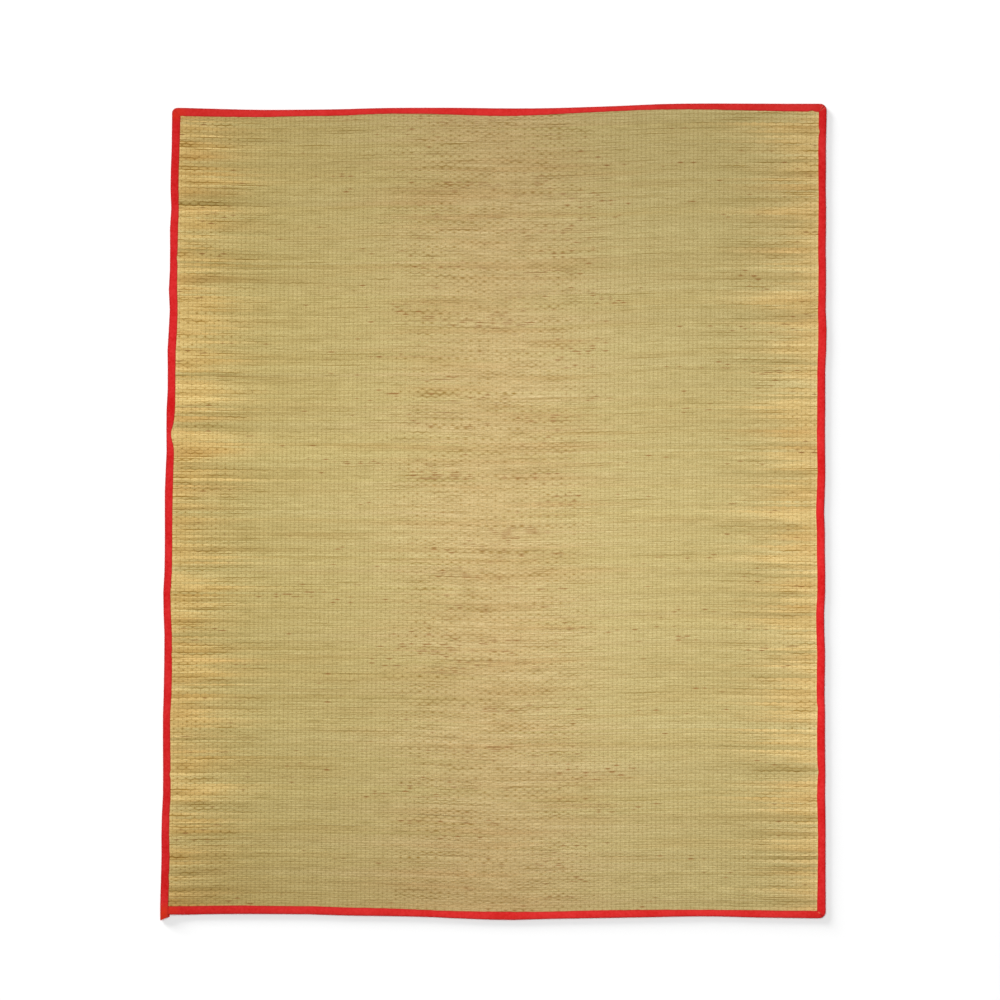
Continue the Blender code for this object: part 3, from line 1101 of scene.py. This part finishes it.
def ramp(tree, value, stops):
    node = tree.nodes.new("ShaderNodeValToRGB")
    tree.links.new(value, node.inputs["Fac"])
    elements = node.color_ramp.elements
    while len(elements) < len(stops):
        elements.new(0.5)
    for element, (place, colour) in zip(elements, stops):
        element.position = place
        element.color = colour
    return node.outputs["Color"]


def set_surface(tree, shader, colour, roughness, specular=0.5):
    feed(tree, shader.inputs["Base Color"], colour)
    feed(tree, shader.inputs["Roughness"], roughness)
    feed(tree, shader.inputs["Specular IOR Level"], specular)


BUMP_STRENGTH = 0.5


def add_bump(tree, shader, height, distance):
    inputs = {"Distance": distance, "Strength": BUMP_STRENGTH, "Height": height}
    tree.links.new(add_node(tree, "ShaderNodeBump", inputs, "Normal"), shader.inputs["Normal"])


GOLDEN = linear(236, 202, 125)
AMBER = linear(220, 194, 123)
PALE_OLIVE = linear(207, 185, 116)
OLIVE = linear(204, 183, 118)
LIGHT_TAN = linear(206, 183, 121)
TAN = linear(211, 185, 127)
BROWN = linear(157, 103, 43)
# The tint that paints shade on the straws
SHADE_TINT = (0.54, 0.41, 0.14, 1.0)
DARK_TINT = (0.83, 0.785, 0.68, 1.0)
LIGHT_TINT = (1.20, 1.275, 1.45, 1.0)
WARM_TINT = (0.95, 0.865, 0.79, 1.0)
COOL_TINT = (0.97, 0.99, 1.09, 1.0)
SPECK_DARK = (0.70, 0.66, 0.50, 1.0)
SPECK_LIGHT = (1.30, 1.34, 1.50, 1.0)
THREAD = linear(196, 170, 110)
WORN_THREAD = linear(170, 140, 84)
RED = linear(250, 54, 55)
DEEP_RED = linear(227, 22, 23)
PALE_RED = linear(236, 70, 58)
RED_ORANGE = linear(248, 60, 26)
# Painted highlight on the ridges beside a mitre's seam
HIGHLIGHT_RED = linear(255, 104, 92)
# Painted shade along the tape's rims and in its mitres' seams
SHADE_RED = linear(130, 14, 16)
SEWING_RED = linear(205, 30, 34)
TACK_ORANGE = linear(255, 140, 104)

# The straws' specks: streaks, flecks and fibres, and the range of their product. Then the
# unevenness of the line at a thread, and the straws' relief
STREAK_GRAIN = Grain((26, 560, 0), 2.0, 0.85, 1.15)
FLECK_GRAIN = Grain((350, 500, 0), 1.0, 0.86, 1.14)
FIBRE_GRAIN = Grain((25, 2600, 900), 3.0, 0.95, 1.05)
SPECK_SPAN = (0.7, 1.3)
GRID_GRAIN = Grain((14, 60, 0), 2.0, 0.7, 1.2)
RELIEF_GRAIN = Grain((40, 2600, 900), 3.0)
STRAW_RELIEF = 0.12 * MM

# Marks on a straw, the painted shade where a thread presses it and along its borders, and the
# brown: from which share of its half width to which, where each is full. The dash and the line of
# painted shade at a thread are narrowed by a power
PRESS_LINE = (0.55, 0.05)
BORDER_LINE = (0.4, 0.85)
BROWN_LINE = (0.3, 0.8)
PRESS_POWER = 1.6
THREAD_POWER = 2.2
BROWN_SPAN = (0.1, 0.7)
BROWN_MOST = 0.9

# The tone that is lightest, and darkest below 0. The roughness of pale fibres and of dark ones
TONE_REACH = 6.0
STRAW_ROUGHNESS = (0.66, 0.52)
STRAW_SPECULAR = 0.25

# The warp threads' wear and the sewing's twist
WORN_GRAIN = Grain((300, 260, 300), 2.0)
THREAD_ROUGHNESS = 0.8
TWIST_GRAIN = Grain((900, 900, 900), 2.0)
TWIST_ROUGHNESS = 0.6

# The tape's mottle of broad and fine noise, its fading, how dark its painted shade along the rims
# and in the seams is, and its ribs
BROAD_GRAIN = Grain((15, 15, 15), 2.0)
FINE_GRAIN = Grain((190, 190, 190), 2.0)
MOTTLE_SPAN = (0.7, 1.3)
FADED_GRAIN = Grain((160, 160, 160), 3.0, 0.5, 1.0)
ORANGE_SPAN = (0.05, 0.5)
RIM_SHADE_DARK = 0.42
SEAM_SHADE_DARK = 0.6
TAPE_ROUGHNESS = 0.9
TAPE_SPECULAR = 0.15
TAPE_RELIEF = 0.1 * MM
RIB_SCALE = 500.0

# How far from its root a straw has each colour
STRAW_REACH = 0.8
STRAW_COLOURS = (
    (0.00, GOLDEN),
    (0.05, GOLDEN),
    (0.13, AMBER),
    (0.26, PALE_OLIVE),
    (0.54, OLIVE),
    (0.70, LIGHT_TAN),
    (0.90, TAN),
)


def thread_line(tree):
    """A narrow line at each warp thread, from 0 between threads to 1 on them."""
    circle = maths(tree, "COSINE", product(tree, attribute(tree, "thread"), 2 * pi))
    return maths(tree, "POWER", ranged(tree, circle, -1.0, 1.0), THREAD_POWER)


def line_along(tree, start, full):
    """A line along a straw, from 0 at one share of its half width to 1 at another."""
    return ranged(tree, maths(tree, "ABSOLUTE", attribute(tree, "across")), start, full)


def straw_shade(tree):
    """How much painted shade darkens a straw: along its borders, in a line at each thread and where
    one presses it.
    """
    line = thread_line(tree)
    dash = attribute(tree, "dash")
    spread = maths(tree, "ADD", dash, product(tree, maths(tree, "SUBTRACT", 1.0, dash), line))
    press = maths(tree, "POWER", attribute(tree, "press"), PRESS_POWER)
    press = product(tree, press, spread, line_along(tree, *PRESS_LINE))
    # Painted shade in a line at each thread
    grid = product(tree, line, attribute(tree, "grid"), grain(tree, GRID_GRAIN))
    border = product(tree, attribute(tree, "groove"), line_along(tree, *BORDER_LINE))
    return maths(tree, "MAXIMUM", maths(tree, "MAXIMUM", press, grid), border)


def straw_material():
    """Satin straws: golden roots, olive lengths, tan middles and brown dashes, with painted shade
    in the grooves, at the threads and where a thread presses.
    """
    made, tree, shader = new_material("straw")
    root = ranged(tree, attribute(tree, "from_root"), 0.0, STRAW_REACH)
    colour = ramp(tree, root, STRAW_COLOURS)
    tone = ranged(tree, attribute(tree, "tone"), -TONE_REACH, TONE_REACH)
    colour = tinted(tree, colour, mixed(tree, tone, DARK_TINT, LIGHT_TINT))
    for name, tint in (("warm", WARM_TINT), ("cool", COOL_TINT)):
        colour = mixed(tree, attribute(tree, name), colour, tinted(tree, colour, tint))
    fibre = grain(tree, FIBRE_GRAIN)
    specks = product(tree, grain(tree, STREAK_GRAIN), grain(tree, FLECK_GRAIN), fibre)
    specks = mixed(tree, ranged(tree, specks, *SPECK_SPAN), SPECK_DARK, SPECK_LIGHT)
    colour = tinted(tree, colour, specks)
    colour = mixed(tree, straw_shade(tree), colour, tinted(tree, colour, SHADE_TINT))
    brown = ranged(tree, attribute(tree, "brown"), *BROWN_SPAN, 0.0, BROWN_MOST)
    brown = product(tree, brown, line_along(tree, *BROWN_LINE))
    colour = mixed(tree, brown, colour, BROWN)
    roughness = ranged(tree, fibre, FIBRE_GRAIN.low, FIBRE_GRAIN.high, *STRAW_ROUGHNESS)
    set_surface(tree, shader, colour, roughness, STRAW_SPECULAR)
    add_bump(tree, shader, raw_grain(tree, RELIEF_GRAIN), STRAW_RELIEF)
    return made


def thread_material(name, kind, first, second, roughness):
    """A thread of two colours, mixed by its wear or its twist."""
    made, tree, shader = new_material(name)
    set_surface(tree, shader, mixed(tree, grain(tree, kind), first, second), roughness)
    return made


def tape_material():
    """Plain red woven tape, mottled and faded to orange at two corners, with painted shade along
    its rims and in its mitres' seams, and painted highlights on the ridges beside the seams.
    """
    made, tree, shader = new_material("red_tape_cloth")
    mottle = maths(tree, "ADD", raw_grain(tree, BROAD_GRAIN), raw_grain(tree, FINE_GRAIN))
    colour = mixed(tree, ranged(tree, mottle, *MOTTLE_SPAN), RED, DEEP_RED)
    colour = mixed(tree, attribute(tree, "pale"), colour, PALE_RED)
    orange = ranged(tree, attribute(tree, "orange"), *ORANGE_SPAN)
    faded = product(tree, orange, grain(tree, FADED_GRAIN))
    colour = mixed(tree, faded, colour, RED_ORANGE)
    # Painted highlight on the ridges beside a mitre's seam
    colour = mixed(tree, attribute(tree, "ridge"), colour, HIGHLIGHT_RED)
    # Painted shade along the tape's rims and in its mitres' seams
    rim = product(tree, attribute(tree, "rim"), RIM_SHADE_DARK)
    seam = product(tree, attribute(tree, "seam"), SEAM_SHADE_DARK)
    colour = mixed(tree, maths(tree, "MAXIMUM", rim, seam), colour, SHADE_RED)
    set_surface(tree, shader, colour, TAPE_ROUGHNESS, TAPE_SPECULAR)
    add_bump(tree, shader, cloth_ribs(tree), TAPE_RELIEF)
    return made


def cloth_ribs(tree):
    """A plain weave of two crossed rows of fine ribs."""
    inputs = {"Vector": add_node(tree, "ShaderNodeTexCoord", {}, "Object"), "Scale": RIB_SCALE}
    ways = ("X", "Y")
    ribs = [add_node(tree, "ShaderNodeTexWave", inputs, "Fac", bands_direction=way) for way in ways]
    return product(tree, *ribs)


# Floor, light and camera

FLOOR_SIZE = 30.0
FLOOR_LEVEL = -0.2 * MM
FLOOR_WHITE = 0.815
FLOOR_ROUGHNESS = 0.9
SKY_STRENGTH = 0.32
SKY_SEEN = 1.05
SUN_STRENGTH = 1.1
SUN_HEIGHT = 48
SUN_WIDTH = 35
DIAGONAL = 2**0.5
LAMP_PLACE = (0.11, -0.04, 1.15)
LAMP_POWER = 7.95
LAMP_SIZE = (1.4, 0.3)
LAMP_TURN = radians(-62)
FILL_STRENGTH = 1.16
FILL_WIDTH = 60
RAKE_DISTANCE = 30.0
RAKE_LOW = radians(1.8)
RAKE_HIGH = radians(11)
RAKE_WIDTH = 15.0
RAKE_POWER = 28000.0


def pale_floor():
    bpy.ops.mesh.primitive_plane_add(size=FLOOR_SIZE, location=(0, 0, FLOOR_LEVEL))
    floor = bpy.context.object
    floor.name = "floor"
    made, tree, shader = new_material("floor")
    white = (FLOOR_WHITE, FLOOR_WHITE, FLOOR_WHITE, 1.0)
    set_surface(tree, shader, white, FLOOR_ROUGHNESS, 0.0)
    floor.data.materials.append(made)
    return floor


def soft_sky():
    world = bpy.data.worlds.new("sky")
    bpy.context.scene.world = world
    world.use_nodes = True
    tree = world.node_tree
    background = tree.nodes["Background"]
    background.inputs["Color"].default_value = (1.0, 1.0, 1.0, 1.0)
    seen = add_node(tree, "ShaderNodeLightPath", {}, "Is Camera Ray")
    strength = ranged(tree, seen, 0.0, 1.0, SKY_STRENGTH, SKY_SEEN)
    tree.links.new(strength, background.inputs["Strength"])


def add_light(name, kind, energy, place):
    """A light that looks at the mat's middle and isn't seen."""
    light = bpy.data.lights.new(name, kind)
    light.energy = energy
    made = add_object(name, light)
    made.location = place
    made.rotation_euler = (-Vector(place)).to_track_quat("-Z", "Y").to_euler()
    made.visible_camera = False
    return made


def key_light():
    """A wide soft sun from the upper left."""
    height = radians(SUN_HEIGHT)
    place = (-cos(height), cos(height), sin(height) * DIAGONAL)
    sun = add_light("key", "SUN", SUN_STRENGTH, place)
    sun.data.angle = radians(SUN_WIDTH)


def lit_only(light, things):
    """Links a light to a few things alone."""
    taken = bpy.data.collections.new(f"taken_by_{light.name}")
    for thing in things:
        taken.objects.link(thing)
    light.light_linking.receiver_collection = taken


def lamp_above(pieces):
    """A long soft lamp above the mat, which it alone takes, so that its ends are dimmer."""
    lamp = add_light("lamp", "AREA", LAMP_POWER, LAMP_PLACE)
    lamp.rotation_euler = (0, 0, LAMP_TURN)
    lamp.data.shape = "RECTANGLE"
    lamp.data.size, lamp.data.size_y = LAMP_SIZE
    lit_only(lamp, pieces)


def floor_fill(floor):
    """Even light from above that only the floor takes."""
    fill = add_light("fill", "SUN", FILL_STRENGTH, (0, 0, FAR))
    fill.data.angle = radians(FILL_WIDTH)
    lit_only(fill, [floor])


def raking_light(floor):
    """A low strip at the upper left that only the floor takes: it draws the mat's soft shadow."""
    low = RAKE_DISTANCE * tan(RAKE_LOW)
    high = RAKE_DISTANCE * tan(RAKE_HIGH)
    slant = RAKE_DISTANCE / DIAGONAL
    strip = add_light("rake", "AREA", RAKE_POWER, (-slant, slant, (low + high) / 2))
    strip.data.shape = "RECTANGLE"
    strip.data.size = RAKE_WIDTH
    strip.data.size_y = high - low
    lit_only(strip, [floor])


def camera_above():
    data = bpy.data.cameras.new("camera")
    data.sensor_width = SENSOR_WIDTH
    data.lens = SENSOR_WIDTH * CAMERA_HEIGHT / VIEW_WIDTH
    data.clip_end = CAMERA_REACH
    made = add_object("camera", data)
    made.location = (*VIEW_CENTRE, CAMERA_HEIGHT)
    bpy.context.scene.camera = made


def studio(pieces):
    floor = pale_floor()
    soft_sky()
    key_light()
    lamp_above(pieces)
    floor_fill(floor)
    raking_light(floor)
    camera_above()
    bpy.context.scene.view_settings.view_transform = "Standard"


# The whole


def declare(bands, tape, seam):
    """Says what each piece rides on, and hides the imported solid that it stands for."""
    for band in bands:
        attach(band, "root")
        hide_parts("woven_panel")
    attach(tape, "root")
    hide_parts("binding_tape")
    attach(seam, "root")


def main():
    bands = woven_bands()
    tape, stations = binding_tape()
    seam = sewing(stations)
    studio([*bands, tape, seam])
    declare(bands, tape, seam)


main()
